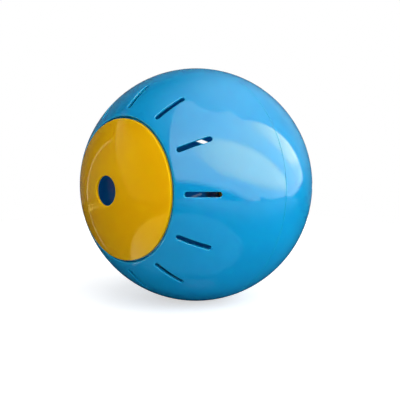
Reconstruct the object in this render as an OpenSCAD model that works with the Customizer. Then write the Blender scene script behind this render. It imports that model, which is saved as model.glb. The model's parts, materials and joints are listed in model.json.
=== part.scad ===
// Treat dispensing ball: two slotted half shells that twist together at the seam, and a
// snap-in lid with a round outlet at each end. The lids share one axis along Y, the front
// lid faces -Y, +Z is up and the origin is the centre of the ball. Millimetres.

/* [Ball] */
// Outside diameter of the closed ball
ball_d = 120; // [110:1:150]
// Wall thickness of the half shells
shell_wall = 1.3; // [1.2:0.1:2.4]
// Gap that shows between the half shells at the seam
seam_gap = 0.15; // [0.1:0.05:0.6]
// Rounding of the outer edges along the seam
seam_edge_r = 0.2; // [0.1:0.05:0.8]

/* [Slots] */
// Slots round each half shell
slot_count = 12; // [6:1:14]
// Width of a slot
slot_w = 2.5; // [1.6:0.1:3.4]
// Length of a slot along the ball's surface
slot_len = 17; // [10:0.5:22]
// Surface distance from the lid's recess to the near end of a slot
slot_margin = 5.1; // [4:0.1:8]

/* [Lid] */
// Diameter of the lid across its edge
lid_d = 67.8; // [56:0.2:76]
// Thickness of the lid's dome
lid_wall = 1.3; // [1.2:0.1:2.2]
// Gap between the lid's edge and the wall of its recess
lid_gap = 0.95; // [0.3:0.05:1.2]
// Rounding of the lid's outer edge
lid_edge_r = 0.6; // [0.3:0.05:1]
// Diameter of the outlet in the middle of the lid
outlet_d = 14.2; // [8:0.2:20]
// Rounding of the outlet's outer edge
outlet_edge_r = 0.4; // [0.2:0.05:0.6]

/* [Lid seat] */
// Width of the ledge that carries the lid
seat_w = 4; // [3:0.1:6]
// Thickness of the ledge
seat_t = 2; // [1.4:0.1:3]
// Gap between the lid's underside and the ledge
seat_gap = 0.2; // [0.1:0.05:0.4]
// Width of the collar that ties the ledge to the shell wall
collar_w = 1.8; // [1.4:0.1:2.6]
// Rounding of the recess's outer edge
recess_edge_r = 0.4; // [0.2:0.05:0.8]

/* [Lid snap] */
// Gap between the lid's skirt and the bore of the ledge
skirt_gap = 0.3; // [0.2:0.05:0.6]
// Wall of the skirt and of its snap fingers
skirt_wall = 1.6; // [1.2:0.1:2.4]
// Snap fingers round the skirt
finger_count = 6; // [3:1:8]
// Width of a snap finger
finger_w = 14; // [8:0.5:16]
// Width of the relief slit on each side of a finger
slit_w = 1.2; // [0.8:0.1:2]
// How far a finger's hook reaches under the ledge
hook_catch = 0.5; // [0.3:0.05:1]
// Height of the hook's sloping nose
hook_h = 2.4; // [1.6:0.1:3.6]
// Gap between the hook and the ledge's underside
hook_gap = 0.3; // [0.2:0.05:0.6]

/* [Seam joint] */
// Length of the front half's spigot, which enters the rear half
spigot_len = 8; // [7:0.5:11]
// Wall of the spigot
spigot_wall = 1.8; // [1.4:0.1:2.4]
// Running gap between the spigot and the socket
spigot_gap = 0.2; // [0.15:0.05:0.4]
// Chamfer that leads the spigot into the socket
spigot_lead = 0.6; // [0.2:0.1:1.2]
// Height of the band that roots the spigot in the front half
spigot_root = 4; // [3:0.5:6]
// Bayonet pegs round the socket
peg_count = 4; // [3:1:6]
// Diameter of a bayonet peg
peg_d = 3; // [2.4:0.1:3.4]
// Gap between a peg and its track
peg_gap = 0.25; // [0.2:0.05:0.4]
// Spigot left standing between the seam and the pegs' tracks
track_land = 1.3; // [0.8:0.1:1.6]
// Turn that brings the pegs to the open ends of their tracks
twist_deg = 25; // [15:1:35]

/* [Hidden] */
$fn = 96;
// Size past every solid, for half planes and cutters
far = 2 * ball_d;
// Overshoot of a cutter past the faces that it opens, and of a slot's cutter inside the shell
overcut = 1;
slot_overcut = 0.2;
// Fullness of a rounded edge, so that its arc crosses the faces beside it at a slight angle
edge_fullness = 1.01;
shell_blue = [0.06, 0.50, 0.80];
lid_yellow = [0.95, 0.68, 0.03];

// Spheres about the ball's centre, from the outside in
ball_r = ball_d / 2;
inner_r = ball_r - shell_wall;
mid_wall_r = ball_r - shell_wall / 2;
lid_under_r = ball_r - lid_wall;
seat_top_r = lid_under_r - seat_gap;
seat_under_r = seat_top_r - seat_t;

// Distances from the lid axis
lid_r = lid_d / 2;
outlet_r = outlet_d / 2;
recess_r = lid_r + lid_gap;
collar_r = recess_r + collar_w;
seat_bore_r = recess_r - seat_w;
skirt_r = seat_bore_r - skirt_gap;
skirt_in_r = skirt_r - skirt_wall;
hook_r = seat_bore_r + hook_catch;

// Middle of a slot as an angle from the lid axis, half its length on a flat plane square to
// the surface there, and the height over the centre at which its cutter starts
slot_mid_deg = asin(recess_r / ball_r) + surface_deg(slot_margin + slot_len / 2);
slot_reach = ball_r * sin(surface_deg(slot_len / 2));
slot_start = height_at(inner_r, slot_reach) - slot_overcut;

// Seam and bayonet
rim_z = seam_gap / 2;
socket_r = sqrt(inner_r * inner_r - spigot_len * spigot_len);
spigot_r = socket_r - spigot_gap;
spigot_in_r = spigot_r - spigot_wall;
spigot_end_z = spigot_len - spigot_gap;
track_r = peg_d / 2 + peg_gap;
peg_z = track_land + track_r;

// Hook and skirt heights above the centre
hook_z = height_at(seat_under_r, hook_r) - hook_gap;
skirt_end_z = hook_z - hook_h;
guide_end_z = height_at(seat_under_r, seat_bore_r);

// Turns of the fingers, and of the guides that stand between their relief slits
finger_pitch = 360 / finger_count;
finger_deg = width_deg(finger_w, skirt_r);
guide_deg = finger_pitch - width_deg(finger_w + 2 * slit_w, skirt_r);

function surface_deg(length) = length / ball_r * 180 / PI;
function height_at(sphere_r, r) = sqrt(sphere_r * sphere_r - r * r);
function width_deg(width, r) = 2 * asin(width / 2 / r);

// Pieces are drawn with their pole on +Z, then laid over to the front or the rear
module to_front() { rotate([90, 0, 0]) children(); }
module to_rear() { rotate([-90, 0, 0]) children(); }

// Half plane right of the axis and above a height
module right_above(r, z) { translate([r, z]) square(far); }

// Strip between two distances from the axis, above the centre
module strip(r1, r2) { translate([r1, 0]) square([r2 - r1, far]); }

// Section of a spherical wall
module band(r_out, r_in) {
    difference() {
        circle(r_out);
        circle(r_in);
    }
}

// Corner outside a fillet of radius f at centre c, between the directions u and v
module outside_fillet(c, f, u, v) {
    reach = f + 2 * f / (1 + u * v);
    difference() {
        polygon([c, c + reach * u, c + reach * (u + v), c + reach * v]);
        translate(c) circle(f * edge_fullness);
    }
}

// Corner where a wall at distance r from the axis cuts the ball's surface; side is 1 where
// the material lies beyond r and -1 where it lies inside r
module surface_corner(r, f, side) {
    c = [r + side * f, height_at(ball_r - f, r + side * f)];
    outside_fillet(c, f, c / norm(c), [-side, 0]);
}

module shell_section() {
    difference() {
        union() {
            intersection() {
                band(ball_r, inner_r);
                right_above(recess_r, rim_z);
            }
            intersection() {
                band(ball_r, seat_under_r);
                strip(recess_r, collar_r);
            }
            intersection() {
                band(seat_top_r, seat_under_r);
                strip(seat_bore_r, collar_r);
            }
        }
        surface_corner(recess_r, recess_edge_r, 1);
        rim_corner();
    }
}

// Outer edge of a half shell at the seam
module rim_corner() {
    z = rim_z + seam_edge_r;
    r = height_at(ball_r - seam_edge_r, z);
    outside_fillet([r, z], seam_edge_r, [r, z] / norm([r, z]), [0, -1]);
}

// Slot with round ends, cut square to the surface at the slot's middle
module slot() {
    end = slot_reach - slot_w / 2;
    rotate([0, slot_mid_deg, 0]) translate([0, 0, slot_start]) linear_extrude(far) {
        translate([-end, -slot_w / 2]) square([2 * end, slot_w]);
        for (side = [-1, 1]) translate([side * end, 0]) circle(d = slot_w);
    }
}

module slots() {
    for (i = [0 : slot_count - 1]) rotate(i * 360 / slot_count) slot();
}

// Radial pin between two distances from the axis, at an angle round it
module radial_pin(angle, z, r, from_r, to_r) {
    rotate(angle) translate([from_r, 0, z]) rotate([0, 90, 0]) cylinder(r = r, h = to_r - from_r);
}

// Spigot on the front half, with the band that roots it in the shell wall
module spigot() {
    root_top = spigot_root + inner_r - spigot_in_r;
    rotate_extrude() {
        polygon([[spigot_in_r, rim_z], [spigot_in_r, -spigot_end_z],
                 [spigot_r - spigot_lead, -spigot_end_z], [spigot_r, spigot_lead - spigot_end_z],
                 [spigot_r, rim_z]]);
        intersection() {
            circle(mid_wall_r);
            polygon([[spigot_in_r, rim_z], [ball_r, rim_z], [ball_r, root_top],
                     [inner_r, root_top], [spigot_in_r, spigot_root]]);
        }
    }
}

// L-shaped track for one peg: round at the locked end, open to the spigot's edge at the other
module track(angle) {
    cut_in = spigot_in_r - overcut;
    cut_out = spigot_r + overcut;
    for (end = [0, twist_deg]) radial_pin(angle - end, -peg_z, track_r, cut_in, cut_out);
    rotate(angle - twist_deg) {
        rotate_extrude(angle = twist_deg)
            translate([cut_in, -peg_z - track_r]) square([cut_out - cut_in, 2 * track_r]);
        translate([cut_in, -track_r, -far - peg_z]) cube([cut_out - cut_in, 2 * track_r, far]);
    }
}

function peg_angle(i) = (i + 0.5) * 360 / peg_count;

module front_shell() {
    color(shell_blue) to_front() {
        difference() {
            rotate_extrude() shell_section();
            slots();
        }
        difference() {
            spigot();
            for (i = [0 : peg_count - 1]) track(peg_angle(i));
        }
    }
}

module rear_shell() {
    color(shell_blue) to_rear() {
        difference() {
            rotate_extrude() {
                shell_section();
                intersection() {
                    circle(mid_wall_r);
                    right_above(socket_r, rim_z);
                }
            }
            slots();
        }
        for (i = [0 : peg_count - 1])
            radial_pin(-peg_angle(i), peg_z, peg_d / 2, spigot_in_r, mid_wall_r);
    }
}

module lid_dome() {
    rotate_extrude() difference() {
        intersection() {
            band(ball_r, lid_under_r);
            strip(outlet_r, lid_r);
        }
        surface_corner(lid_r, lid_edge_r, -1);
        surface_corner(outlet_r, outlet_edge_r, 1);
    }
}

// Section of the skirt from the dome down to a height
module skirt_section(end_z) {
    intersection() {
        circle(ball_r - lid_wall / 2);
        translate([skirt_in_r, end_z]) square([skirt_wall, far]);
    }
}

module hook_section() {
    polygon([[skirt_in_r, hook_z], [hook_r, hook_z], [hook_r, hook_z - hook_catch],
             [skirt_r, skirt_end_z], [skirt_in_r, skirt_end_z]]);
}

module sector(middle, sweep) {
    rotate(middle - sweep / 2) rotate_extrude(angle = sweep) children();
}

// Snap finger, from the dome down to its hook
module finger(angle) {
    sector(angle, finger_deg) {
        skirt_section(skirt_end_z);
        hook_section();
    }
}

// Short guide between two fingers, which centres the lid in the ledge
module guide(angle) { sector(angle, guide_deg) skirt_section(guide_end_z); }

module lid() {
    color(lid_yellow) {
        lid_dome();
        for (i = [0 : finger_count - 1]) {
            finger(i * finger_pitch);
            guide((i + 0.5) * finger_pitch);
        }
    }
}

module front_lid() { to_front() lid(); }
module rear_lid() { to_rear() lid(); }

front_shell();
rear_shell();
front_lid();
rear_lid();
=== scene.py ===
"""Looks of a treat dispensing ball.

Two glossy half shells, each with a ring of slots, are twisted together at the seam, and a
snap-in lid with a round outlet closes each end. Metres, with the lid axis along Y and +Z up.
"""

import json
import math

import bmesh
import bpy
from bpy.props import FloatProperty, FloatVectorProperty, IntProperty, PointerProperty
from mathutils import Matrix, Vector


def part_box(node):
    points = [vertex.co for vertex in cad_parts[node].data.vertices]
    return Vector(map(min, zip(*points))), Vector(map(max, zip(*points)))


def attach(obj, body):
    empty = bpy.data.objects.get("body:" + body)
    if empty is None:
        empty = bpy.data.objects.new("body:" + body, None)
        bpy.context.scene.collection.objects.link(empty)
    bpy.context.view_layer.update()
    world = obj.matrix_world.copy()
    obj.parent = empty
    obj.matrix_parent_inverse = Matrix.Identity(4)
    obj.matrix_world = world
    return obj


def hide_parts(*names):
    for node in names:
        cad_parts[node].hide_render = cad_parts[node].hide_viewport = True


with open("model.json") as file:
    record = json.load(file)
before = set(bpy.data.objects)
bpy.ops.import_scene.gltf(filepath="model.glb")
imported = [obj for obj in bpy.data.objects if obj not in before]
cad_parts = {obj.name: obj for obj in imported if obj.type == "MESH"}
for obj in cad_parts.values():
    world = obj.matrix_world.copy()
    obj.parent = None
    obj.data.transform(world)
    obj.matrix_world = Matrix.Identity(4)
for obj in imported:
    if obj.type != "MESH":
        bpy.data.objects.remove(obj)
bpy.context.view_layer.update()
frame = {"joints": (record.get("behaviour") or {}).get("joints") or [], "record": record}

bl_info = {
    "name": "Treat dispensing ball",
    "version": (1, 0, 0),
    "blender": (4, 5, 0),
    "location": "View3D > Sidebar > Treat ball",
    "description": "Builds a slotted treat ball with two snap-in lids, and its studio",
    "category": "Object",
}

# Sizes that the frame gives
MOUNTS = {mount["name"]: mount for mount in frame["record"]["mounts"]}
JOINTS = {joint["name"]: joint for joint in frame["joints"]}
FLOOR_Z = MOUNTS["floor_contact"]["pos_m"][2]
BALL_RADIUS = -FLOOR_Z
OUTLET_RADIUS = MOUNTS["front_outlet"]["dims"]["r_mm"] / 1000
LID_RADIUS = round(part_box("front_lid")[1].x, 4)
TWIST = math.radians(JOINTS["half_twist"]["range_deg"][1])

# Pieces are made with their pole on +Z, then laid over to the front or the rear
TO_FRONT = Matrix.Rotation(math.radians(90), 4, "X")
TO_REAR = Matrix.Rotation(math.radians(-90), 4, "X")

# Fineness of the meshes
SURFACE_STEP = math.radians(1.5)
STEPS_PER_SLOT = 20
STEPS_ALONG_SLOT = 16
# Rows of points between a slot's window and the slot, as shares of the way
ROWS_TO_SLOT = (0.0, 0.3, 0.55, 0.75, 0.88, 0.95, 0.98)
EDGE_STEPS = 5
PEG_STEPS = 32
# Softened ends of a peg, as a share of its radius
PEG_SOFT_SHARE = 0.2
# The round end of a track stops just short of a quarter turn, so that it has a face and no sharp line
TRACK_END_TURN = math.radians(88)
SHARP_ANGLE = math.radians(38)
MERGE_DISTANCE = 1e-6


def length(name, description, default):
    """A length that a user may change."""
    return FloatProperty(name=name, description=description, default=default, unit="LENGTH", precision=5)


def angle(name, description, default):
    """An angle that a user may change."""
    return FloatProperty(name=name, description=description, default=default, subtype="ANGLE")


def colour(name, description, default):
    """A colour that a user may change."""
    return FloatVectorProperty(
        name=name, description=description, default=default, size=3, min=0, max=1, subtype="COLOR"
    )


class TREATBALL_PG_shell(bpy.types.PropertyGroup):
    """Sizes of the half shells."""

    radius: length("Ball radius", "Centre of the ball to its surface", BALL_RADIUS)
    wall: length("Shell wall", "Thickness of the half shells", 0.0013)
    seam_gap: length("Seam gap", "Gap between the half shells at the seam", 0.00015)
    seam_edge: length("Seam edge", "Rounding of the edges along the seam", 0.0002)
    slot_count: IntProperty(name="Slots", description="Slots round each half shell", default=12, min=3)
    slot_width: length("Slot width", "Width of a slot", 0.0025)
    slot_length: length("Slot length", "Length of a slot along the surface", 0.017)
    slot_margin: length("Slot margin", "Surface distance from the lid's recess to a slot", 0.0051)
    slot_lip: length("Slot lip", "Rounding of a slot's outer edge", 0.0003)


class TREATBALL_PG_lid(bpy.types.PropertyGroup):
    """Sizes of the lids and of the seats that hold them."""

    radius: length("Lid radius", "Lid axis to the lid's edge", LID_RADIUS)
    wall: length("Lid wall", "Thickness of the lid's dome", 0.0013)
    gap: length("Lid gap", "Gap round the lid's edge", 0.00095)
    edge: length("Lid edge", "Rounding of the lid's outer edge", 0.0006)
    outlet: length("Outlet radius", "Radius of the outlet", OUTLET_RADIUS)
    outlet_edge: length("Outlet edge", "Rounding of the outlet's outer edge", 0.0004)
    ledge_width: length("Ledge width", "Width of the ledge under the lid", 0.004)
    ledge: length("Ledge", "Thickness of the ledge", 0.002)
    ledge_gap: length("Ledge gap", "Gap between the lid and the ledge", 0.0002)
    collar: length("Collar", "Width of the collar that ties the ledge to the shell", 0.0018)
    recess_edge: length("Recess edge", "Rounding of the recess's outer edge", 0.0004)


class TREATBALL_PG_snap(bpy.types.PropertyGroup):
    """Sizes of the snap fingers under the lids."""

    skirt_gap: length("Skirt gap", "Gap between the skirt and the ledge's bore", 0.0003)
    skirt_wall: length("Skirt wall", "Wall of the skirt and its fingers", 0.0016)
    fingers: IntProperty(name="Fingers", description="Snap fingers round the skirt", default=6, min=3)
    finger_width: length("Finger width", "Width of a snap finger", 0.014)
    slit: length("Relief slit", "Width of the slit on each side of a finger", 0.0012)
    catch: length("Hook catch", "How far a hook reaches under the ledge", 0.0005)
    hook: length("Hook height", "Height of a hook's sloping nose", 0.0024)
    hook_gap: length("Hook gap", "Gap between a hook and the ledge", 0.0003)


class TREATBALL_PG_seam(bpy.types.PropertyGroup):
    """Sizes of the twist lock at the seam."""

    spigot: length("Spigot length", "Depth of the spigot's socket", 0.008)
    spigot_wall: length("Spigot wall", "Wall of the spigot", 0.0018)
    spigot_gap: length("Spigot gap", "Running gap round the spigot", 0.0002)
    lead: length("Lead-in", "Chamfer on the spigot's end", 0.0006)
    root: length("Spigot root", "Height of the band that roots the spigot", 0.004)
    pegs: IntProperty(name="Pegs", description="Bayonet pegs round the socket", default=4, min=2)
    peg_radius: length("Peg radius", "Radius of a bayonet peg", 0.0015)
    peg_gap: length("Peg gap", "Gap between a peg and its track", 0.00025)
    land: length("Track land", "Spigot left between the seam and the tracks", 0.0013)
    twist: angle("Twist", "Turn that frees the pegs", TWIST)


class TREATBALL_PG_finish(bpy.types.PropertyGroup):
    """Colours of the moulded plastic."""

    shell: colour("Shell blue", "Colour of the half shells", (0.004, 0.29, 0.57))
    lid: colour("Lid yellow", "Colour of the lids", (0.77, 0.395, 0.002))


class TREATBALL_PG_stage(bpy.types.PropertyGroup):
    """Camera and studio."""

    azimuth: angle("Azimuth", "Camera's angle round the ball", math.radians(45.32))
    elevation: angle("Elevation", "Camera's height angle", math.radians(4.3))
    distance: length("Distance", "Camera to the ball's centre", 0.4048)
    roll: angle("Roll", "Camera's lean to one side", math.radians(0.31))
    lens: FloatProperty(name="Lens", description="Focal length in millimetres", default=69.84)
    frame_right: FloatProperty(name="Frame shift right", description="Share of the frame", default=0.00985)
    frame_down: FloatProperty(name="Frame shift down", description="Share of the frame", default=0.0386)
    floor: colour("Floor", "Colour of the studio floor", (0.62, 0.62, 0.62))
    # Painted shade: the floor near the ball is dark as the gloss mirrors it
    near_shade_in_gloss: colour("Near floor", "Floor near the ball as the gloss mirrors it", (0.02, 0.02, 0.02))
    # Painted light: a pool of light on the floor that only the gloss sees
    painted_light_pool: colour(
        "Pool of light", "Light off the shell, on the floor as the gloss mirrors it", (0.25, 0.6, 0.8)
    )
    floor_lift: FloatProperty(name="Floor lift", description="Lifts the floor to white", default=0.6)
    floor_size: length("Floor size", "Side of the square floor", 0.7)


GROUPS = {
    "treat_ball_shell": TREATBALL_PG_shell,
    "treat_ball_lid": TREATBALL_PG_lid,
    "treat_ball_snap": TREATBALL_PG_snap,
    "treat_ball_seam": TREATBALL_PG_seam,
    "treat_ball_finish": TREATBALL_PG_finish,
    "treat_ball_stage": TREATBALL_PG_stage,
}


def height(sphere, r):
    """Height on a sphere at a distance from the lid axis."""
    return math.sqrt(sphere * sphere - r * r)


class Form:
    """Radii and heights that follow from the sizes."""

    def __init__(self, scene):
        shell = scene.treat_ball_shell
        lid = scene.treat_ball_lid
        snap = scene.treat_ball_snap
        seam = scene.treat_ball_seam
        self.shell, self.lid, self.snap, self.seam = shell, lid, snap, seam
        # Spheres about the ball's centre
        self.ball = shell.radius
        self.inner = self.ball - shell.wall
        self.under = self.ball - lid.wall
        self.ledge_top = self.under - lid.ledge_gap
        self.ledge_under = self.ledge_top - lid.ledge
        # Distances from the lid axis
        self.recess = lid.radius + lid.gap
        self.collar = self.recess + lid.collar
        self.bore = self.recess - lid.ledge_width
        self.skirt = self.bore - snap.skirt_gap
        self.skirt_in = self.skirt - snap.skirt_wall
        self.hook = self.bore + snap.catch
        # Slots are square to the surface at their middle, on a plane with these directions
        near = math.asin(self.recess / self.ball) + shell.slot_margin / self.ball
        half_turn = shell.slot_length / 2 / self.ball
        middle = near + half_turn
        self.slot_reach = self.ball * math.sin(half_turn)
        self.slot_along = Vector((math.cos(middle), 0, -math.sin(middle)))
        self.slot_across = Vector((0, 1, 0))
        self.slot_out = Vector((math.sin(middle), 0, math.cos(middle)))
        # Seam and twist lock
        self.rim = shell.seam_gap / 2
        self.socket = height(self.inner, seam.spigot)
        self.spigot = self.socket - seam.spigot_gap
        self.spigot_in = self.spigot - seam.spigot_wall
        self.spigot_end = seam.spigot - seam.spigot_gap
        self.track = seam.peg_radius + seam.peg_gap
        self.peg_height = seam.land + self.track
        # Heights of the snap fingers
        self.hook_top = height(self.ledge_under, self.hook) - snap.hook_gap
        self.skirt_end = self.hook_top - snap.hook
        self.guide_end = height(self.ledge_under, self.bore)
        # Band of the sphere that holds the slots
        inside_near = middle - math.asin((self.slot_reach + shell.slot_lip) / self.inner)
        self.band_near = (self.collar + self.inner * math.sin(inside_near)) / 2
        self.band_far = self.ball * math.sin(middle + half_turn) + shell.slot_width

    def peg_angle(self, i):
        """Angle of one peg round the lid axis."""
        return (i + 0.5) * math.tau / self.seam.pegs


# Profiles, as points of distance from the lid axis and height


def sphere_run(sphere, polar_from, polar_to):
    """Points along a sphere between two angles from the lid axis."""
    steps = max(2, math.ceil(abs(polar_to - polar_from) / SURFACE_STEP))
    polars = [polar_from + (polar_to - polar_from) * i / steps for i in range(steps + 1)]
    return [(sphere * math.sin(p), sphere * math.cos(p)) for p in polars]


def sphere_between(sphere, r_from, r_to):
    """Points along a sphere between two distances from the lid axis."""
    return sphere_run(sphere, math.asin(r_from / sphere), math.asin(r_to / sphere))


def edge_run(centre, radius, angle_from, angle_to):
    """Points round a rounded edge."""
    angles = [angle_from + (angle_to - angle_from) * i / EDGE_STEPS for i in range(EDGE_STEPS + 1)]
    return [(centre[0] + radius * math.cos(a), centre[1] + radius * math.sin(a)) for a in angles]


def surface_edge(ball, r, radius, side):
    """Rounded edge where a wall at distance r cuts the ball's surface, from the wall outwards.

    side is 1 where the material lies beyond r and -1 where it lies inside r.
    """
    centre_r = r + side * radius
    centre = (centre_r, height(ball - radius, centre_r))
    wall_angle = math.pi if side > 0 else 0.0
    return edge_run(centre, radius, wall_angle, math.atan2(centre[1], centre[0]))


def soft_corner(before, corner, after, radius):
    """Points of a slightly rounded corner between two others."""
    corner, before, after = Vector(corner), Vector(before), Vector(after)
    start = corner + (before - corner).normalized() * radius
    end = corner + (after - corner).normalized() * radius
    shares = [i / EDGE_STEPS for i in range(EDGE_STEPS + 1)]
    points = [start.lerp(corner, s).lerp(corner.lerp(end, s), s) for s in shares]
    return [tuple(p) for p in points]


def seam_edge(form):
    """Rounded edge of a half shell at the seam, from the surface to the rim's face."""
    radius = form.shell.seam_edge
    z = form.rim + radius
    centre = (height(form.ball - radius, z), z)
    return edge_run(centre, radius, math.atan2(centre[1], centre[0]), -math.pi / 2)


def front_rim(form):
    """Spigot of the front half, from the seam edge to the inside of the shell."""
    lead = form.seam.lead
    end = -form.spigot_end
    soft = lead / 2
    end_out = (form.spigot - lead, end)
    end_in = (form.spigot_in, end)
    root = (form.spigot_in, form.seam.root)
    # The root's slope rises at 45 degrees until it meets the inside of the shell
    total = root[0] + root[1]
    rise = (math.sqrt(total * total - 2 * (root[0] ** 2 + root[1] ** 2 - form.inner**2)) - total) / 2
    top = (root[0] + rise, root[1] + rise)
    points = [(form.spigot, form.rim), (form.spigot, end + lead), end_out]
    points += soft_corner(end_out, end_in, root, soft)
    points += soft_corner(end_in, root, top, soft)
    return points, math.atan2(top[0], top[1])


def rear_rim(form):
    """Socket of the rear half, from the seam edge to the inside of the shell."""
    top = (form.socket, form.seam.spigot)
    corner = (form.socket, form.rim)
    points = soft_corner((form.ball, form.rim), corner, top, form.seam.lead / 2)
    return points, math.atan2(top[0], top[1])


def skin_profile(form, rim):
    """Section from the slot band's far side, round the rim, to the band's far side inside."""
    edge = seam_edge(form)
    first = edge[0]
    outside = sphere_run(form.ball, math.asin(form.band_far / form.ball), math.atan2(*first))
    rim_points, inside_from = rim(form)
    inside = sphere_run(form.inner, inside_from, math.asin(form.band_far / form.inner))
    return outside + edge[1:] + rim_points + inside


def seat_profile(form):
    """Section from the slot band's near side inside, round the lid's seat, to the band outside."""
    soft = form.lid.recess_edge / 2
    collar_top = (form.collar, height(form.inner, form.collar))
    collar_low = (form.collar, height(form.ledge_under, form.collar))
    bore_low = (form.bore, height(form.ledge_under, form.bore))
    bore_top = (form.bore, height(form.ledge_top, form.bore))
    wall_foot = (form.recess, height(form.ledge_top, form.recess))
    edge = surface_edge(form.ball, form.recess, form.lid.recess_edge, 1)
    under = sphere_between(form.ledge_under, form.collar, form.bore)
    top = sphere_between(form.ledge_top, form.bore, form.recess)
    points = sphere_between(form.inner, form.band_near, form.collar)
    points += soft_corner(collar_top, collar_low, under[1], soft)
    points += under[1:-1]
    points += soft_corner(under[-2], bore_low, bore_top, soft)
    points += soft_corner(bore_low, bore_top, top[1], soft)
    points += top[1:-1] + [wall_foot] + edge
    outside_from = math.atan2(*edge[-1])
    return points + sphere_run(form.ball, outside_from, math.asin(form.band_near / form.ball))[1:]


def dome_profile(form):
    """Closed section of a lid's dome."""
    lid = form.lid
    soft = lid.outlet_edge / 2
    hole_edge = surface_edge(form.ball, lid.outlet, lid.outlet_edge, 1)
    rim_edge = surface_edge(form.ball, lid.radius, lid.edge, -1)
    hole_foot = (lid.outlet, height(form.under, lid.outlet))
    rim_foot = (lid.radius, height(form.under, lid.radius))
    under = sphere_between(form.under, lid.radius, lid.outlet)
    points = soft_corner(under[-2], hole_foot, hole_edge[0], soft) + hole_edge
    points += sphere_run(form.ball, math.atan2(*hole_edge[-1]), math.atan2(*rim_edge[-1]))[1:-1]
    points += rim_edge[::-1]
    points += soft_corner(rim_edge[0], rim_foot, under[1], soft)
    return points + under[1:-1]


# Meshes


def add_rows(bm, rows, closed_rows=True, closed_loop=False):
    """Skins rows of points with quads. Each row may close on itself, and so may the stack of rows."""
    made = [[bm.verts.new(p) for p in row] for row in rows]
    if closed_loop:
        made.append(made[0])
    count = len(rows[0])
    for low, high in zip(made, made[1:]):
        for i in range(count if closed_rows else count - 1):
            j = (i + 1) % count
            bm.faces.new((low[i], low[j], high[j], high[i]))
    return made


def add_capped_rows(bm, rows):
    """Skins rows that close on themselves, and closes both ends of the stack."""
    made = add_rows(bm, rows)
    for end in (0, -1):
        bm.faces.new(made[end])


def turned(profile, angles):
    """One row of points for each profile point, turned about the lid axis."""
    directions = [(math.cos(a), math.sin(a)) for a in angles]
    return [[(r * c, r * s, z) for c, s in directions] for r, z in profile]


def whole_turn(form):
    """Angles of a whole turn, in step with the slots."""
    count = form.shell.slot_count * STEPS_PER_SLOT
    return [math.tau * (i - STEPS_PER_SLOT / 2) / count for i in range(count)]


def window_outline(form, sphere):
    """Outline, on the slot's plane, of the piece of the slot band that holds one slot."""
    half = math.pi / form.shell.slot_count
    across = [half * (2 * i / STEPS_PER_SLOT - 1) for i in range(STEPS_PER_SLOT + 1)]
    shares = [i / STEPS_ALONG_SLOT for i in range(STEPS_ALONG_SLOT + 1)]
    along = [form.band_near + (form.band_far - form.band_near) * s for s in shares]
    polar = [(form.band_near, a) for a in across]
    polar += [(r, half) for r in along[1:]]
    polar += [(form.band_far, a) for a in across[-2::-1]]
    polar += [(r, -half) for r in along[-2:0:-1]]
    points = [Vector((r * math.cos(a), r * math.sin(a), height(sphere, r))) for r, a in polar]
    return [Vector((p.dot(form.slot_along), p.dot(form.slot_across))) for p in points]


def slot_outline(form, spread):
    """Outline of a slot on its plane, widened all round, in step with the window."""
    half = form.shell.slot_width / 2
    far = form.slot_reach - half
    near = -far
    wide = half + spread
    turns = [math.pi * (i / STEPS_PER_SLOT - 0.5) for i in range(STEPS_PER_SLOT + 1)]
    shares = [i / STEPS_ALONG_SLOT for i in range(STEPS_ALONG_SLOT + 1)]
    spine = [near + (far - near) * s for s in shares]
    points = [(near - wide * math.cos(t), wide * math.sin(t)) for t in turns]
    points += [(x, wide) for x in spine[1:]]
    points += [(far + wide * math.cos(t), wide * math.sin(t)) for t in turns[-2::-1]]
    points += [(x, -wide) for x in spine[-2:0:-1]]
    return [Vector(p) for p in points]


def slot_rows(form):
    """Rows from the outer surface, over the lip, through the wall and out along the inside."""
    lip_out = form.shell.slot_lip
    lip_in = lip_out / 2
    turns = [math.pi / 2 * i / EDGE_STEPS for i in range(EDGE_STEPS + 1)]

    def lay(points, sphere, drop):
        heights = [height(sphere, p.length) + drop for p in points]
        flat = [form.slot_along * p.x + form.slot_across * p.y for p in points]
        return [f + form.slot_out * h for f, h in zip(flat, heights)]

    def spread_rows(sphere, lip):
        window = window_outline(form, sphere)
        slot = slot_outline(form, lip)
        return [lay([w.lerp(p, s) for w, p in zip(window, slot)], sphere, 0.0) for s in ROWS_TO_SLOT]

    def lip_rows(sphere, lip, side):
        return [
            lay(slot_outline(form, lip * (1 - math.sin(t))), sphere, side * lip * (1 - math.cos(t)))
            for t in turns
        ]

    rows = spread_rows(form.ball, lip_out) + lip_rows(form.ball, lip_out, -1)
    rows += lip_rows(form.inner, lip_in, 1)[::-1] + spread_rows(form.inner, lip_in)[::-1]
    return rows


def add_slots(bm, form):
    """The band of the shell that holds the slots."""
    rows = slot_rows(form)
    for i in range(form.shell.slot_count):
        turn = Matrix.Rotation(math.tau * i / form.shell.slot_count, 3, "Z")
        add_rows(bm, [[turn @ p for p in row] for row in rows])


def add_sector(bm, profile, middle, sweep, steps):
    """A solid piece of a ring with the given closed section."""
    angles = [middle + sweep * (i / steps - 0.5) for i in range(steps + 1)]
    rows = turned(profile, angles)
    made = add_rows(bm, rows, closed_rows=False, closed_loop=True)
    for end in (0, -1):
        bm.faces.new([row[end] for row in made[:-1]])


def add_pin(bm, around, z, radius, r_from, r_to):
    """A round pin that points away from the lid axis, with softened ends."""
    soft = PEG_SOFT_SHARE * radius
    slim = radius - soft
    stations = [(r_from, slim), (r_from + soft, radius), (r_to - soft, radius), (r_to, slim)]
    turns = [math.tau * i / PEG_STEPS for i in range(PEG_STEPS)]
    rows = []
    for r, wide in stations:
        ring = [Vector((r, wide * math.cos(t), z + wide * math.sin(t))) for t in turns]
        rows.append([Matrix.Rotation(around, 3, "Z") @ p for p in ring])
    add_capped_rows(bm, rows)


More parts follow.
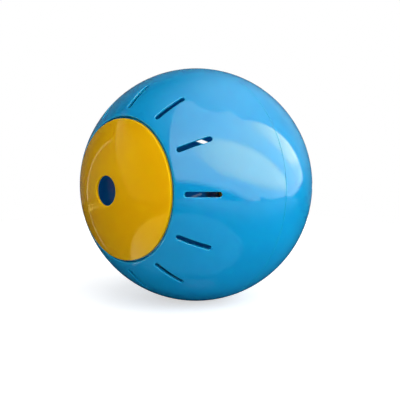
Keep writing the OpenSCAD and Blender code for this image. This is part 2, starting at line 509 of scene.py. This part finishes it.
def to_mesh(bm, name):
    """Closes the joins of a mesh under construction and returns it."""
    bmesh.ops.remove_doubles(bm, verts=bm.verts, dist=MERGE_DISTANCE)
    bmesh.ops.recalc_face_normals(bm, faces=bm.faces)
    mesh = bpy.data.meshes.new(name)
    bm.to_mesh(mesh)
    bm.free()
    return mesh


def combined(base, tool, operation):
    """Result of a Boolean operation between two closed meshes, which are used up."""
    base_object = bpy.data.objects.new("base", base)
    tool_object = bpy.data.objects.new("tool", tool)
    collection = bpy.context.scene.collection
    for thing in (base_object, tool_object):
        collection.objects.link(thing)
    cut = base_object.modifiers.new("cut", "BOOLEAN")
    cut.operation = operation
    cut.solver = "EXACT"
    cut.object = tool_object
    graph = bpy.context.evaluated_depsgraph_get()
    result = bpy.data.meshes.new_from_object(base_object.evaluated_get(graph))
    for thing in (base_object, tool_object):
        bpy.data.objects.remove(thing)
    for mesh in (base, tool):
        bpy.data.meshes.remove(mesh)
    return result


def shell_mesh(form, rim):
    """A half shell without pegs or tracks."""
    bm = bmesh.new()
    angles = whole_turn(form)
    add_rows(bm, turned(skin_profile(form, rim), angles))
    add_rows(bm, turned(seat_profile(form), angles))
    add_slots(bm, form)
    return to_mesh(bm, "half_shell")


def track_columns(form, locked):
    """Angle, lowest and highest point of one L-shaped track, from its open end to its round end."""
    turn = form.track / form.spigot
    free = locked - form.seam.twist
    low = -form.peg_height - form.track
    high = -form.peg_height + form.track
    # The cutter's mouth reaches well past the spigot's end
    below = -2 * form.seam.spigot
    shares = [i / STEPS_PER_SLOT for i in range(STEPS_PER_SLOT + 1)]
    mouth = [(free - turn + 2 * turn * s, below, high) for s in shares]
    # The corner where a peg turns from the mouth into the run is slightly eased
    run_from = free + turn + form.seam.peg_gap / form.spigot
    run = [(run_from + (locked - run_from) * s, low, high) for s in shares]
    quarter = [TRACK_END_TURN * s for s in shares[1:]]
    rounded = [(t, form.track * math.cos(t)) for t in quarter]
    end = [
        (locked + turn * math.sin(t), -form.peg_height - half, -form.peg_height + half)
        for t, half in rounded
    ]
    return mouth + run + end


def tracks_mesh(form):
    """Cutters for the L-shaped tracks in the spigot, which open at the spigot's end."""
    bm = bmesh.new()
    inside = form.spigot_in - form.shell.wall
    outside = form.spigot + form.seam.spigot_gap / 2
    for i in range(form.seam.pegs):
        rows = []
        for around, low, high in track_columns(form, form.peg_angle(i)):
            section = [(inside, low), (outside, low), (outside, high), (inside, high)]
            rows.append([(r * math.cos(around), r * math.sin(around), z) for r, z in section])
        add_capped_rows(bm, rows)
    return to_mesh(bm, "tracks")


def pegs_mesh(form):
    """Bayonet pegs, rooted in the wall of the rear half."""
    bm = bmesh.new()
    root = form.ball - form.shell.wall / 2
    for i in range(form.seam.pegs):
        add_pin(bm, -form.peg_angle(i), form.peg_height, form.seam.peg_radius, form.spigot_in, root)
    return to_mesh(bm, "pegs")


def snaps_mesh(form):
    """Guide ring segments and snap fingers under a lid."""
    bm = bmesh.new()
    snap = form.snap
    root = form.ball - form.lid.wall / 2
    root_out = (form.skirt, height(root, form.skirt))
    root_in = (form.skirt_in, height(root, form.skirt_in))
    guide = [(form.skirt_in, form.guide_end), (form.skirt, form.guide_end), root_out, root_in]
    finger = [
        (form.skirt_in, form.skirt_end),
        (form.skirt, form.skirt_end),
        (form.hook, form.hook_top - snap.catch),
        (form.hook, form.hook_top),
        (form.skirt, form.hook_top),
        root_out,
        root_in,
    ]
    pitch = math.tau / snap.fingers
    finger_sweep = 2 * math.asin(snap.finger_width / 2 / form.skirt)
    opening = 2 * math.asin((snap.finger_width / 2 + snap.slit) / form.skirt)
    for i in range(snap.fingers):
        add_sector(bm, finger, i * pitch, finger_sweep, STEPS_PER_SLOT)
        add_sector(bm, guide, (i + 0.5) * pitch, pitch - opening, STEPS_PER_SLOT)
    return to_mesh(bm, "snaps")


def lid_mesh(form):
    """A lid with its snap fingers."""
    bm = bmesh.new()
    add_rows(bm, turned(dome_profile(form), whole_turn(form)), closed_loop=True)
    return combined(to_mesh(bm, "dome"), snaps_mesh(form), "UNION")


def add_piece(name, mesh, lay_over, body, node, material):
    """Puts a finished piece in the scene in place of a CAD node."""
    mesh.name = name
    mesh.transform(lay_over)
    mesh.materials.clear()
    mesh.materials.append(material)
    mesh.shade_smooth()
    mesh.set_sharp_from_angle(angle=SHARP_ANGLE)
    piece = bpy.data.objects.new(name, mesh)
    bpy.context.scene.collection.objects.link(piece)
    flow = piece.modifiers.new("even_shading", "WEIGHTED_NORMAL")
    flow.keep_sharp = True
    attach(piece, body)
    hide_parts(node)
    return piece


# Materials


def add_node(tree, kind, **values):
    """A node with the given attributes; inputs are set with their names, spaces as underscores."""
    node = tree.nodes.new(kind)
    for key, value in values.items():
        if hasattr(node, key):
            setattr(node, key, value)
        else:
            node.inputs[key.replace("_", " ")].default_value = value
    return node


def new_group(name, inputs, outputs):
    """A shader node group with named sockets; returns it with its input and output nodes."""
    tree = bpy.data.node_groups.new(name, "ShaderNodeTree")
    for socket, kind, default in inputs:
        made = tree.interface.new_socket(socket, in_out="INPUT", socket_type=kind)
        if default is not None:
            made.default_value = default
    for socket, kind in outputs:
        tree.interface.new_socket(socket, in_out="OUTPUT", socket_type=kind)
    return tree, tree.nodes.new("NodeGroupInput"), tree.nodes.new("NodeGroupOutput")


def joined(tree, operation, first, second):
    """Output of a Math node between two outputs, or the second where there is no first."""
    if first is None:
        return second
    node = add_node(tree, "ShaderNodeMath", operation=operation)
    tree.links.new(first, node.inputs[0])
    tree.links.new(second, node.inputs[1])
    return node.outputs[0]


def colour_mix(tree, factor, first, second):
    """Output of a colour mix between two colours or outputs."""
    node = add_node(tree, "ShaderNodeMix", data_type="RGBA")
    tree.links.new(factor, node.inputs["Factor"])
    for socket, value in (("A", first), ("B", second)):
        if isinstance(value, bpy.types.NodeSocket):
            tree.links.new(value, node.inputs[socket])
        else:
            node.inputs[socket].default_value = (*value, 1)
    return node.outputs["Result"]


def ramp(tree, source, between, **values):
    """A node that rises from 0 to 1 while an output passes between two values."""
    node = add_node(tree, "ShaderNodeMapRange", From_Min=between[0], From_Max=between[1], **values)
    tree.links.new(source, node.inputs["Value"])
    return node


# Moulded plastic. Scales are of noise, and ranges are the part of a noise that becomes a mask
PLASTIC_IOR = 1.5
LIGHT_REACH = 0.0035
CLOUD_SCALE = 28.0
CLOUD_RANGE = (0.3, 0.7)
SCUFF_SCALE = 240.0
SCUFF_RANGE = (0.58, 0.72)
SCUFF_TURN = (0.5, 0.9, 0.3)
SCUFF_STRETCH = (1.0, 9.0, 2.5)
SCUFF_PATCH_SCALE = 40.0
SCUFF_PATCH_RANGE = (0.45, 0.65)
PEEL_SCALE = 420.0
PEEL_STRENGTH = 0.02
PEEL_DEPTH = 0.0002


def plastic_surface_group():
    """Moulded plastic: cloudy pigment, fine handling scuffs and the mould's faint orange peel."""
    tree, given, result = new_group(
        "moulded_plastic",
        [
            ("Colour", "NodeSocketColor", (0.8, 0.8, 0.8, 1)),
            ("Cloudiness", "NodeSocketFloat", 0.06),
            ("Gloss Roughness", "NodeSocketFloat", 0.06),
            ("Scuffing", "NodeSocketFloat", 0.05),
        ],
        [("Colour", "NodeSocketColor"), ("Roughness", "NodeSocketFloat"), ("Height", "NodeSocketFloat")],
    )
    link = tree.links.new
    place = add_node(tree, "ShaderNodeTexCoord").outputs["Object"]
    # Pigment that is a little darker and lighter in slow clouds
    clouds = add_node(tree, "ShaderNodeTexNoise", Scale=CLOUD_SCALE, Detail=3.0, Roughness=0.55)
    shade = ramp(tree, clouds.outputs["Fac"], CLOUD_RANGE)
    tint = add_node(tree, "ShaderNodeHueSaturation")
    link(place, clouds.inputs["Vector"])
    for operation, socket in (("SUBTRACT", "To Min"), ("ADD", "To Max")):
        limit = add_node(tree, "ShaderNodeMath", operation=operation)
        limit.inputs[0].default_value = 1.0
        link(given.outputs["Cloudiness"], limit.inputs[1])
        link(limit.outputs[0], shade.inputs[socket])
    link(shade.outputs["Result"], tint.inputs["Value"])
    link(given.outputs["Colour"], tint.inputs["Color"])
    link(tint.outputs["Color"], result.inputs["Colour"])
    # Scuffs: stretched fine noise that only shows in patches
    stretch = add_node(tree, "ShaderNodeMapping", Rotation=SCUFF_TURN, Scale=SCUFF_STRETCH)
    hair = add_node(tree, "ShaderNodeTexNoise", Scale=SCUFF_SCALE, Detail=2.0, Roughness=0.6)
    hair_mask = ramp(tree, hair.outputs["Fac"], SCUFF_RANGE)
    patch = add_node(tree, "ShaderNodeTexNoise", Scale=SCUFF_PATCH_SCALE, Detail=2.0)
    patch_mask = ramp(tree, patch.outputs["Fac"], SCUFF_PATCH_RANGE)
    scuff = add_node(tree, "ShaderNodeMath", operation="MULTIPLY_ADD")
    link(place, stretch.inputs["Vector"])
    link(stretch.outputs["Vector"], hair.inputs["Vector"])
    link(place, patch.inputs["Vector"])
    link(joined(tree, "MULTIPLY", hair_mask.outputs["Result"], patch_mask.outputs["Result"]), scuff.inputs[0])
    link(given.outputs["Scuffing"], scuff.inputs[1])
    link(given.outputs["Gloss Roughness"], scuff.inputs[2])
    link(scuff.outputs[0], result.inputs["Roughness"])
    # Orange peel of a polished mould
    peel = add_node(tree, "ShaderNodeTexNoise", Scale=PEEL_SCALE, Detail=1.0)
    link(place, peel.inputs["Vector"])
    link(peel.outputs["Fac"], result.inputs["Height"])
    return tree


def plastic(name, surface, pigment, cloudiness, gloss, scuffing, gloss_tint):
    """Glossy moulded plastic of one colour."""
    material = bpy.data.materials.new(name)
    material.use_nodes = True
    tree = material.node_tree
    shader = tree.nodes["Principled BSDF"]
    skin = add_node(tree, "ShaderNodeGroup", node_tree=surface)
    skin.inputs["Colour"].default_value = (*pigment, 1)
    skin.inputs["Cloudiness"].default_value = cloudiness
    skin.inputs["Gloss Roughness"].default_value = gloss
    skin.inputs["Scuffing"].default_value = scuffing
    bump = add_node(tree, "ShaderNodeBump", Strength=PEEL_STRENGTH, Distance=PEEL_DEPTH)
    shader.inputs["IOR"].default_value = PLASTIC_IOR
    shader.inputs["Specular Tint"].default_value = (*gloss_tint, 1)
    # The thin walls let a little light through
    shader.inputs["Subsurface Weight"].default_value = 1.0
    shader.inputs["Subsurface Radius"].default_value = (1.0, 1.0, 1.0)
    shader.inputs["Subsurface Scale"].default_value = LIGHT_REACH
    link = tree.links.new
    link(skin.outputs["Colour"], shader.inputs["Base Color"])
    link(skin.outputs["Roughness"], shader.inputs["Roughness"])
    link(skin.outputs["Height"], bump.inputs["Height"])
    link(bump.outputs["Normal"], shader.inputs["Normal"])
    material.diffuse_color = (*pigment, 1)
    return material


def plastics(scene):
    """The shell's and the lid's material, made once."""
    finish = scene.treat_ball_finish
    surface = bpy.data.node_groups.get("moulded_plastic") or plastic_surface_group()
    wanted = {
        "blue_gloss_plastic": dict(
            pigment=finish.shell, cloudiness=0.05, gloss=0.05, scuffing=0.06, gloss_tint=(1, 1, 1)
        ),
        "yellow_gloss_plastic": dict(
            pigment=finish.lid, cloudiness=0.04, gloss=0.07, scuffing=0.06, gloss_tint=(1, 0.8, 0.06)
        ),
    }
    for name, look in wanted.items():
        if name not in bpy.data.materials:
            plastic(name, surface, **look)
    return [bpy.data.materials[name] for name in wanted]


# Operators of the pieces


class TREATBALL_OT_half_shells(bpy.types.Operator):
    """Builds the front half shell with its spigot and the rear half shell with its socket"""

    bl_idname = "treat_ball.half_shells"
    bl_label = "Half shells"

    def execute(self, context):
        form = Form(context.scene)
        blue = plastics(context.scene)[0]
        front = combined(shell_mesh(form, front_rim), tracks_mesh(form), "DIFFERENCE")
        rear = combined(shell_mesh(form, rear_rim), pegs_mesh(form), "UNION")
        add_piece("front_half_shell", front, TO_FRONT, "front_half", "front_shell", blue)
        add_piece("rear_half_shell", rear, TO_REAR, "rear_half", "rear_shell", blue)
        return {"FINISHED"}


class TREATBALL_OT_lids(bpy.types.Operator):
    """Builds the two snap-in lids"""

    bl_idname = "treat_ball.lids"
    bl_label = "Snap-in lids"

    def execute(self, context):
        form = Form(context.scene)
        yellow = plastics(context.scene)[1]
        for side, lay_over in (("front", TO_FRONT), ("rear", TO_REAR)):
            node = f"{side}_lid"
            add_piece(f"{side}_snap_lid", lid_mesh(form), lay_over, node, node, yellow)
        return {"FINISHED"}


# Studio


def studio_edge_group():
    """Soft edge between two parts of the studio or the floor: 1 on the side that the axis points to."""
    tree, given, result = new_group(
        "studio_edge",
        [
            ("Direction", "NodeSocketVector", None),
            ("Axis", "NodeSocketVector", None),
            ("Level", "NodeSocketFloat", 0.0),
            ("Softness", "NodeSocketFloat", 0.05),
        ],
        [("Mask", "NodeSocketFloat")],
    )
    link = tree.links.new
    dot = add_node(tree, "ShaderNodeVectorMath", operation="DOT_PRODUCT")
    low = add_node(tree, "ShaderNodeMath", operation="SUBTRACT")
    high = add_node(tree, "ShaderNodeMath", operation="ADD")
    step = add_node(tree, "ShaderNodeMapRange", interpolation_type="SMOOTHSTEP")
    link(given.outputs["Direction"], dot.inputs[0])
    link(given.outputs["Axis"], dot.inputs[1])
    for node in (low, high):
        link(given.outputs["Level"], node.inputs[0])
        link(given.outputs["Softness"], node.inputs[1])
    link(dot.outputs["Value"], step.inputs["Value"])
    link(low.outputs[0], step.inputs["From Min"])
    link(high.outputs[0], step.inputs["From Max"])
    link(step.outputs["Result"], result.inputs["Mask"])
    return tree


def opposite(axis):
    """The same axis, pointing the other way."""
    return [-part for part in axis]


def stripe(axis, low, high, softness):
    """The two edges of a stripe that lies between two levels of an axis."""
    return [(axis, low, softness), (opposite(axis), -high, softness)]


def grey(brightness):
    """A colour without a hue."""
    return (brightness, brightness, brightness)


# Soft panels of the studio: strength in the gloss, strength in the matt light, and the patches that
# make up the panel. A patch is bright inside all its edges; an edge is an axis, a level of the
# direction's share along it, and a softness.
WINDOW_LEFT = ((0.899, 0.303, 0.316), 0.14, 0.012)
WINDOW_LEFT_SILL = ((-0.247, 0.413, 0.876), -0.36, 0.06)
WINDOW_RIGHT_SILL = ((0.405, 0.277, 0.871), 0.27, 0.05)
WINDOW_RIGHT_HEAD = ((0.924, 0.016, -0.382), 0.131, 0.02)
WINDOW_RIGHT_END = ((0.471, 0.388, 0.792), 0.463, 0.03)
WINDOW = [WINDOW_LEFT, WINDOW_LEFT_SILL, WINDOW_RIGHT_SILL, WINDOW_RIGHT_HEAD, WINDOW_RIGHT_END]
CORNER = [
    WINDOW_LEFT,
    WINDOW_LEFT_SILL,
    ((-0.109, -0.169, -0.98), -0.973, 0.01),
    ((0.6, -0.8, 0), 0.0, 0.015),
    ((0, -1, 0), -0.32, 0.02),
]
LOW_SKY = ((0, 0, -1), -0.8, 0.2)
BRIGHT_SKY = [
    *WINDOW,
    ((0.514, -0.469, -0.718), -0.082, 0.06),
    ((0.241, 0.314, 0.918), 0.352, 0.08),
    ((0.77, -0.63, -0.2), -0.015, 0.05),
    ((0.85, 0.5, 0.15), 0.5, 0.5),
]
SKY_RIM = [*WINDOW, ((-0.527, 0.585, 0.616), 0.371, 0.05), ((0, 1, 0), 0.6, 0.3), ((0, 0, 1), 0.17, 0.06)]
BACK_WALL = [((0.24, 0.734, 0.635), 0.76, 0.2), ((0, 0, 1), -0.02, 0.15)]
LEFT_WALL_EDGE = (-0.398, -0.82, -0.411)
FRONT_WALL_EDGE = (0.829, 0.025, 0.559)
LEFT_WALL = [(LEFT_WALL_EDGE, 0.489, 0.01), (opposite(FRONT_WALL_EDGE), 0.367, 0.02)]
FRONT_WALL = [
    (FRONT_WALL_EDGE, -0.367, 0.015),
    (opposite(FRONT_WALL_EDGE), 0.05, 0.3),
    ((0, 0, -1), -0.6, 0.08),
    ((0, -1, 0), 0.12, 0.12),
]
LEFT_TUBE = [*stripe(LEFT_WALL_EDGE, 0.478, 0.5, 0.006), ((-1, 0, 0), 0.8, 0.04)]
PANELS = {
    "window": (1.1, 2.45, [WINDOW, CORNER]),
    "low_sky": (1.35, 0.0, [[*WINDOW, LOW_SKY], [*CORNER, LOW_SKY]]),
    "bright_sky": (3.65, 0.1, [BRIGHT_SKY]),
    "sky_rim": (2.8, 0.12, [SKY_RIM]),
    "ceiling": (2.0, 0.1, [[((0.409, 0.081, 0.909), 0.915, 0.485)]]),
    "back_wall": (0.5, 0.16, [BACK_WALL]),
    "rear_panel": (0.08, 1.3, [[((-0.71, 0.7, 0.1), 0.75, 0.15)]]),
    "left_wall": (0.15, 0.05, [LEFT_WALL]),
    "front_wall": (0.8, 0.0, [FRONT_WALL]),
    "left_tube": (1.2, 0.05, [LEFT_TUBE]),
}
# Strength of the studio all round, in the gloss and in the matt light
STUDIO_BASE = 0.03
STUDIO_FILL = 0.1
# Brightness in the gloss between which a panel turns warm, and the warm colour
WARM_BETWEEN = (2.4, 4.2)
WARM_COLOUR = (1, 0.87, 0.25)


def panel_patch(tree, edge_group, direction, edges):
    """Mask of one patch of a panel, or of one painted reflection on the floor."""
    mask = None
    for axis, level, softness in edges:
        edge = add_node(tree, "ShaderNodeGroup", node_tree=edge_group)
        edge.inputs["Axis"].default_value = Vector(axis).normalized()
        edge.inputs["Level"].default_value = level
        edge.inputs["Softness"].default_value = softness
        tree.links.new(direction, edge.inputs["Direction"])
        mask = joined(tree, "MULTIPLY", mask, edge.outputs["Mask"])
    return mask


def by_ray(tree, glossy, in_gloss, elsewhere):
    """Value that differs between rays of the gloss and all others."""
    node = add_node(tree, "ShaderNodeMath", operation="MULTIPLY_ADD")
    node.inputs[1].default_value = in_gloss - elsewhere
    node.inputs[2].default_value = elsewhere
    tree.links.new(glossy, node.inputs[0])
    return node.outputs[0]


def seen_rays(tree, rays):
    """1 on rays of the camera, and on those that went through something."""
    return joined(tree, "MAXIMUM", rays.outputs["Is Camera Ray"], rays.outputs["Is Transmission Ray"])


def build_world(scene):
    """White behind the ball, and soft studio panels round it."""
    world = bpy.data.worlds.new("studio")
    scene.world = world
    world.use_nodes = True
    tree = world.node_tree
    tree.nodes.clear()
    link = tree.links.new
    edge_group = studio_edge_group()
    direction = add_node(tree, "ShaderNodeTexCoord").outputs["Generated"]
    rays = add_node(tree, "ShaderNodeLightPath")
    glossy = rays.outputs["Is Glossy Ray"]
    total = None
    for in_gloss, on_matt, patches in PANELS.values():
        mask = None
        for edges in patches:
            mask = joined(tree, "MAXIMUM", mask, panel_patch(tree, edge_group, direction, edges))
        level = joined(tree, "MULTIPLY", mask, by_ray(tree, glossy, in_gloss, on_matt))
        total = joined(tree, "ADD", total, level)
    total = joined(tree, "ADD", total, by_ray(tree, glossy, STUDIO_BASE, STUDIO_FILL))
    # The brightest panels are warm in the gloss
    warmth = joined(tree, "MULTIPLY", glossy, ramp(tree, total, WARM_BETWEEN).outputs["Result"])
    tint = colour_mix(tree, warmth, grey(1), WARM_COLOUR)
    tinted = add_node(tree, "ShaderNodeVectorMath", operation="SCALE")
    link(tint, tinted.inputs[0])
    link(total, tinted.inputs["Scale"])
    studio = add_node(tree, "ShaderNodeBackground", Strength=1.0)
    link(tinted.outputs[0], studio.inputs["Color"])
    behind = add_node(tree, "ShaderNodeBackground", Color=(1, 1, 1, 1), Strength=1.0)
    pick = add_node(tree, "ShaderNodeMixShader")
    out = add_node(tree, "ShaderNodeOutputWorld")
    link(seen_rays(tree, rays), pick.inputs["Fac"])
    link(studio.outputs[0], pick.inputs[1])
    link(behind.outputs[0], pick.inputs[2])
    link(pick.outputs[0], out.inputs["Surface"])


# Painted pool of light on the floor in front of the ball, seen only in the gloss: centres and radii
# of its two rounds, and the softness of their edges
POOL_ROUNDS = [((0.06, -0.09), 0.073), ((0.0716, -0.0445), 0.0365)]
POOL_SOFTNESS = 0.0025
# Distances from the ball between which the pool begins, and between which it brightens
POOL_BEGINS = (0.042, 0.049)
POOL_BRIGHTENS = (0.055, 0.11)
# Share of the pool's colour that shows where it begins
POOL_NEAR_SHARE = 0.65
# The side of the painted pool of light that lies before the lid, brighter than white: colour, round, and
# edges
LID_POOL_LIGHT = grey(1.7)
LID_POOL_ROUND = ((0.0958, -0.0623), 0.1117)
LID_POOL_SIDES = [((-0.881, -0.474, 0), 0.0185, 0.003), ((-0.548, -0.837, 0), 0.0518, 0.0025)]
# Painted reflections: marks on the floor that only the gloss sees, for the ball to mirror; colour and edges,
# in metres
FRONT_LINE = (0.08, -1, 0)
STRIP_OUT = (-0.914, -0.405, 0)
STRIP_ENDS = [((0, -1, 0), 0.055, 0.004), ((0, 1, 0), -0.2, 0.02)]
UNDER_OUT = (0.77, -0.64, 0)
UNDER_ACROSS = (0.64, 0.77, 0)
PAINTED_FLOOR_REFLECTIONS = {
    "right": (grey(0.5), [((1, 0, 0), 0.18, 0.08)]),
    "front": (grey(0.06), [(FRONT_LINE, 0.0419, 0.002), ((-1, 0, 0), 0.0, 0.03)]),
    "line": (grey(0.6), [*stripe(FRONT_LINE, 0.0399, 0.0439, 0.001), ((-1, 0, 0), 0.07, 0.01)]),
    "wide_strip": ((1.1, 0.9, 0.3), [*stripe(STRIP_OUT, 0.227, 0.2585, 0.003), *STRIP_ENDS]),
    "thin_strip": ((1.5, 1.2, 0.4), [*stripe(STRIP_OUT, 0.277, 0.288, 0.003), *STRIP_ENDS]),
    "under": (
        grey(0.17),
        [
            (UNDER_OUT, 0.031, 0.004),
            (opposite(UNDER_OUT), -0.0405, 0.001),
            *stripe(UNDER_ACROSS, -0.012, 0.009, 0.004),
        ],
    ),
}


def floor_ring(tree, centre, r_from, r_to):
    """Mask on the floor that rises from 0 to 1 between two distances from a point."""
    place = add_node(tree, "ShaderNodeTexCoord").outputs["Object"]
    reach = add_node(tree, "ShaderNodeVectorMath", operation="DISTANCE")
    reach.inputs[1].default_value = (*centre, FLOOR_Z)
    tree.links.new(place, reach.inputs[0])
    ring = ramp(tree, reach.outputs["Value"], (r_from, r_to), interpolation_type="SMOOTHSTEP")
    return ring.outputs["Result"]


def floor_round(tree, centre, radius):
    """Mask of a round on the floor."""
    return floor_ring(tree, centre, radius + POOL_SOFTNESS, radius - POOL_SOFTNESS)


def floor_material(look):
    """Matt pale floor, lifted to white for the camera so that only the shadow shows."""
    material = bpy.data.materials.new("studio_floor")
    material.use_nodes = True
    tree = material.node_tree
    tree.nodes.clear()
    link = tree.links.new
    rays = add_node(tree, "ShaderNodeLightPath")
    # In the gloss the floor has painted shade near the ball, painted reflections and a painted pool of light
    pool = None
    for pool_round in POOL_ROUNDS:
        pool = joined(tree, "MAXIMUM", pool, floor_round(tree, *pool_round))
    pool = joined(tree, "MULTIPLY", pool, floor_ring(tree, (0, 0), *POOL_BEGINS))
    mirrored = look.near_shade_in_gloss
    edge_group = bpy.data.node_groups["studio_edge"]
    place = add_node(tree, "ShaderNodeTexCoord").outputs["Object"]
    # Painted reflections on the floor, seen only in the gloss
    for reflection_colour, edges in PAINTED_FLOOR_REFLECTIONS.values():
        reflection_mask = panel_patch(tree, edge_group, place, edges)
        mirrored = colour_mix(tree, reflection_mask, mirrored, reflection_colour)
    far = floor_ring(tree, (0, 0), *POOL_BRIGHTENS)
    near_colour = [POOL_NEAR_SHARE * part for part in look.painted_light_pool]
    mirrored = colour_mix(tree, pool, mirrored, colour_mix(tree, far, near_colour, look.painted_light_pool))
    by_lid = panel_patch(tree, edge_group, place, LID_POOL_SIDES)
    by_lid = joined(tree, "MULTIPLY", by_lid, floor_round(tree, *LID_POOL_ROUND))
    mirrored = colour_mix(tree, by_lid, mirrored, LID_POOL_LIGHT)
    shade = colour_mix(tree, rays.outputs["Is Glossy Ray"], look.floor, mirrored)
    matt = add_node(tree, "ShaderNodeBsdfDiffuse")
    link(shade, matt.inputs["Color"])
    lift = add_node(tree, "ShaderNodeMath", operation="MULTIPLY")
    lift.inputs[1].default_value = look.floor_lift
    glow = add_node(tree, "ShaderNodeEmission", Color=(1, 1, 1, 1))
    lifted = add_node(tree, "ShaderNodeAddShader")
    out = add_node(tree, "ShaderNodeOutputMaterial")
    link(seen_rays(tree, rays), lift.inputs[0])
    link(lift.outputs[0], glow.inputs["Strength"])
    link(matt.outputs[0], lifted.inputs[0])
    link(glow.outputs[0], lifted.inputs[1])
    link(lifted.outputs[0], out.inputs["Surface"])
    return material


def build_floor(scene, look):
    """A plain pale floor under the ball."""
    bm = bmesh.new()
    half = look.floor_size / 2
    corners = [(-half, -half), (half, -half), (half, half), (-half, half)]
    bm.faces.new([bm.verts.new((x, y, FLOOR_Z)) for x, y in corners])
    floor = bpy.data.objects.new("floor", to_mesh(bm, "floor"))
    floor.data.materials.append(floor_material(look))
    scene.collection.objects.link(floor)


# Width of the camera's sensor in millimetres, and the nearest distance that it sees
SENSOR_WIDTH = 36.0
NEAREST_SEEN = 0.01


def build_camera(scene, look):
    """Camera at the photograph's viewing angle."""
    data = bpy.data.cameras.new("camera")
    data.sensor_width = SENSOR_WIDTH
    data.lens = look.lens
    data.shift_x = look.frame_right
    data.shift_y = -look.frame_down
    data.clip_start = NEAREST_SEEN
    camera = bpy.data.objects.new("camera", data)
    aim = Matrix.Rotation(look.azimuth, 4, "Z") @ Matrix.Rotation(math.pi / 2 - look.elevation, 4, "X")
    back = Matrix.Translation((0, 0, look.distance))
    camera.matrix_world = aim @ back @ Matrix.Rotation(look.roll, 4, "Z")
    scene.collection.objects.link(camera)
    scene.camera = camera


class TREATBALL_OT_stage(bpy.types.Operator):
    """Builds the floor, the studio light and the camera"""

    bl_idname = "treat_ball.stage"
    bl_label = "Studio"

    def execute(self, context):
        scene = context.scene
        look = scene.treat_ball_stage
        scene.view_settings.view_transform = "Standard"
        build_world(scene)
        build_floor(scene, look)
        build_camera(scene, look)
        return {"FINISHED"}


OPERATORS = (TREATBALL_OT_half_shells, TREATBALL_OT_lids, TREATBALL_OT_stage)


class TREATBALL_PT_panel(bpy.types.Panel):
    """Sizes, colours and building steps of the treat ball"""

    bl_idname = "TREATBALL_PT_panel"
    bl_label = "Treat ball"
    bl_space_type = "VIEW_3D"
    bl_region_type = "UI"
    bl_category = "Treat ball"

    def draw(self, context):
        for name, group in GROUPS.items():
            box = self.layout.box()
            for field in group.__annotations__:
                box.prop(getattr(context.scene, name), field)
        for operator in OPERATORS:
            self.layout.operator(operator.bl_idname)


CLASSES = (*GROUPS.values(), *OPERATORS, TREATBALL_PT_panel)


def register():
    """Makes the classes and the scene's sizes known to Blender."""
    for cls in CLASSES:
        bpy.utils.register_class(cls)
    for name, group in GROUPS.items():
        setattr(bpy.types.Scene, name, PointerProperty(type=group))


def unregister():
    """Takes back what register did."""
    for name in GROUPS:
        delattr(bpy.types.Scene, name)
    for cls in reversed(CLASSES):
        bpy.utils.unregister_class(cls)


def main():
    """Builds the ball and its studio."""
    register()
    bpy.ops.treat_ball.half_shells()
    bpy.ops.treat_ball.lids()
    bpy.ops.treat_ball.stage()


if __name__ == "__main__":
    main()
